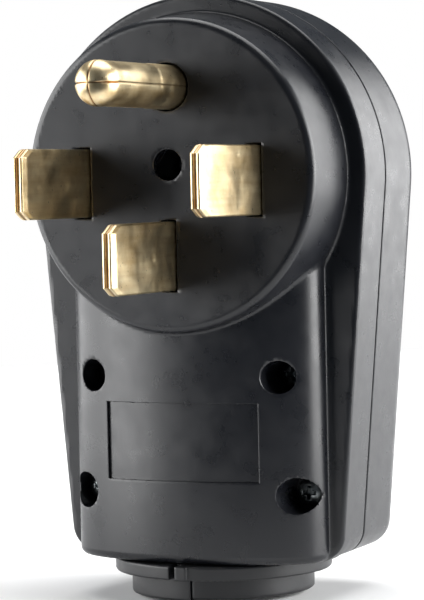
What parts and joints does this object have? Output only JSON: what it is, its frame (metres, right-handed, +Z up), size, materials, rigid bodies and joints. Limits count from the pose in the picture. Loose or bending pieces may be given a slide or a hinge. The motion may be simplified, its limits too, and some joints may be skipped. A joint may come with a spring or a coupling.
{
  "type": "rewirable four-prong power plug",
  "caption": "Four-prong caravan supply plug with a round face, bulged barrel, brass prongs, lift-off rear cover and split cord gland.",
  "frame": {"origin": "on the plug face, midway between the two hot blades", "axes": "-Y out of the face along the prongs, +Z up towards the ground pin, +X to the right as seen from the prong side"},
  "size_m": [0.0652, 0.0725, 0.1089],
  "materials": {
    "shell": "moulded black plastic with a soft satin sheen",
    "gland": "moulded black plastic, slightly duller than the shell",
    "carrier": "brown heat-proof moulding",
    "brass": "bare brass, handled and lightly stained",
    "zinc": "zinc plated",
    "dark_steel": "dark plated steel",
    "green_zinc": "green-dyed zinc plating"
  },
  "bodies": {
    "front_body": {"front_shell": "shell", "contact_carrier": "carrier", "carrier_screw": "dark_steel", "hot_blade_left": "brass", "hot_blade_right": "brass", "neutral_blade": "brass", "ground_pin": "brass", "gland_half_left": "gland", "gland_half_right": "gland"},
    "rear_cover": {"rear_cover": "shell"},
    "case_screw_upper_left": {"case_screw_upper_left": "dark_steel"},
    "case_screw_upper_right": {"case_screw_upper_right": "dark_steel"},
    "case_screw_lower_left": {"case_screw_lower_left": "dark_steel"},
    "case_screw_lower_right": {"case_screw_lower_right": "dark_steel"},
    "saddle_hot_left": {"terminal_saddle_hot_left": "zinc"},
    "screw_hot_left": {"terminal_screw_hot_left": "zinc"},
    "saddle_hot_right": {"terminal_saddle_hot_right": "zinc"},
    "screw_hot_right": {"terminal_screw_hot_right": "zinc"},
    "saddle_neutral": {"terminal_saddle_neutral": "zinc"},
    "screw_neutral": {"terminal_screw_neutral": "zinc"},
    "saddle_ground": {"terminal_saddle_ground": "zinc"},
    "screw_ground": {"terminal_screw_ground": "green_zinc"}
  },
  "joints": [
    {"name": "cover_lift", "type": "slide", "parent": "front_body", "child": "rear_cover", "axis": [0, 1, 0], "range_m": [0, 0.06]},
    {"name": "case_screw_upper_left_out", "type": "slide", "parent": "front_body", "child": "case_screw_upper_left", "axis": [0, -1, 0], "range_m": [0, 0.034]},
    {"name": "case_screw_upper_right_out", "type": "slide", "parent": "front_body", "child": "case_screw_upper_right", "axis": [0, -1, 0], "range_m": [0, 0.034]},
    {"name": "case_screw_lower_left_out", "type": "slide", "parent": "front_body", "child": "case_screw_lower_left", "axis": [0, -1, 0], "range_m": [0, 0.034]},
    {"name": "case_screw_lower_right_out", "type": "slide", "parent": "front_body", "child": "case_screw_lower_right", "axis": [0, -1, 0], "range_m": [0, 0.034]},
    {"name": "saddle_hot_left_press", "type": "slide", "parent": "front_body", "child": "saddle_hot_left", "axis": [0, -1, 0], "range_m": [0, 0.005]},
    {"name": "screw_hot_left_turn", "type": "hinge", "parent": "saddle_hot_left", "child": "screw_hot_left", "pos_m": [-0.01665, 0.0203, 0], "axis": [0, -1, 0], "range_deg": [0, 1800]},
    {"name": "saddle_hot_right_press", "type": "slide", "parent": "front_body", "child": "saddle_hot_right", "axis": [0, -1, 0], "range_m": [0, 0.005]},
    {"name": "screw_hot_right_turn", "type": "hinge", "parent": "saddle_hot_right", "child": "screw_hot_right", "pos_m": [0.01665, 0.0203, 0], "axis": [0, -1, 0], "range_deg": [0, 1800]},
    {"name": "saddle_neutral_press", "type": "slide", "parent": "front_body", "child": "saddle_neutral", "axis": [0, -1, 0], "range_m": [0, 0.005]},
    {"name": "screw_neutral_turn", "type": "hinge", "parent": "saddle_neutral", "child": "screw_neutral", "pos_m": [0, 0.0203, -0.0131], "axis": [0, -1, 0], "range_deg": [0, 1800]},
    {"name": "saddle_ground_press", "type": "slide", "parent": "front_body", "child": "saddle_ground", "axis": [0, -1, 0], "range_m": [0, 0.005]},
    {"name": "screw_ground_turn", "type": "hinge", "parent": "saddle_ground", "child": "screw_ground", "pos_m": [0, 0.0203, 0.0167], "axis": [0, -1, 0], "range_deg": [0, 1800]}
  ],
  "couplings": [
    {"joint": "screw_hot_left_turn", "follows": "saddle_hot_left_press", "rad_per_m": 6283.2},
    {"joint": "screw_hot_right_turn", "follows": "saddle_hot_right_press", "rad_per_m": 6283.2},
    {"joint": "screw_neutral_turn", "follows": "saddle_neutral_press", "rad_per_m": 6283.2},
    {"joint": "screw_ground_turn", "follows": "saddle_ground_press", "rad_per_m": 6283.2}
  ]
}
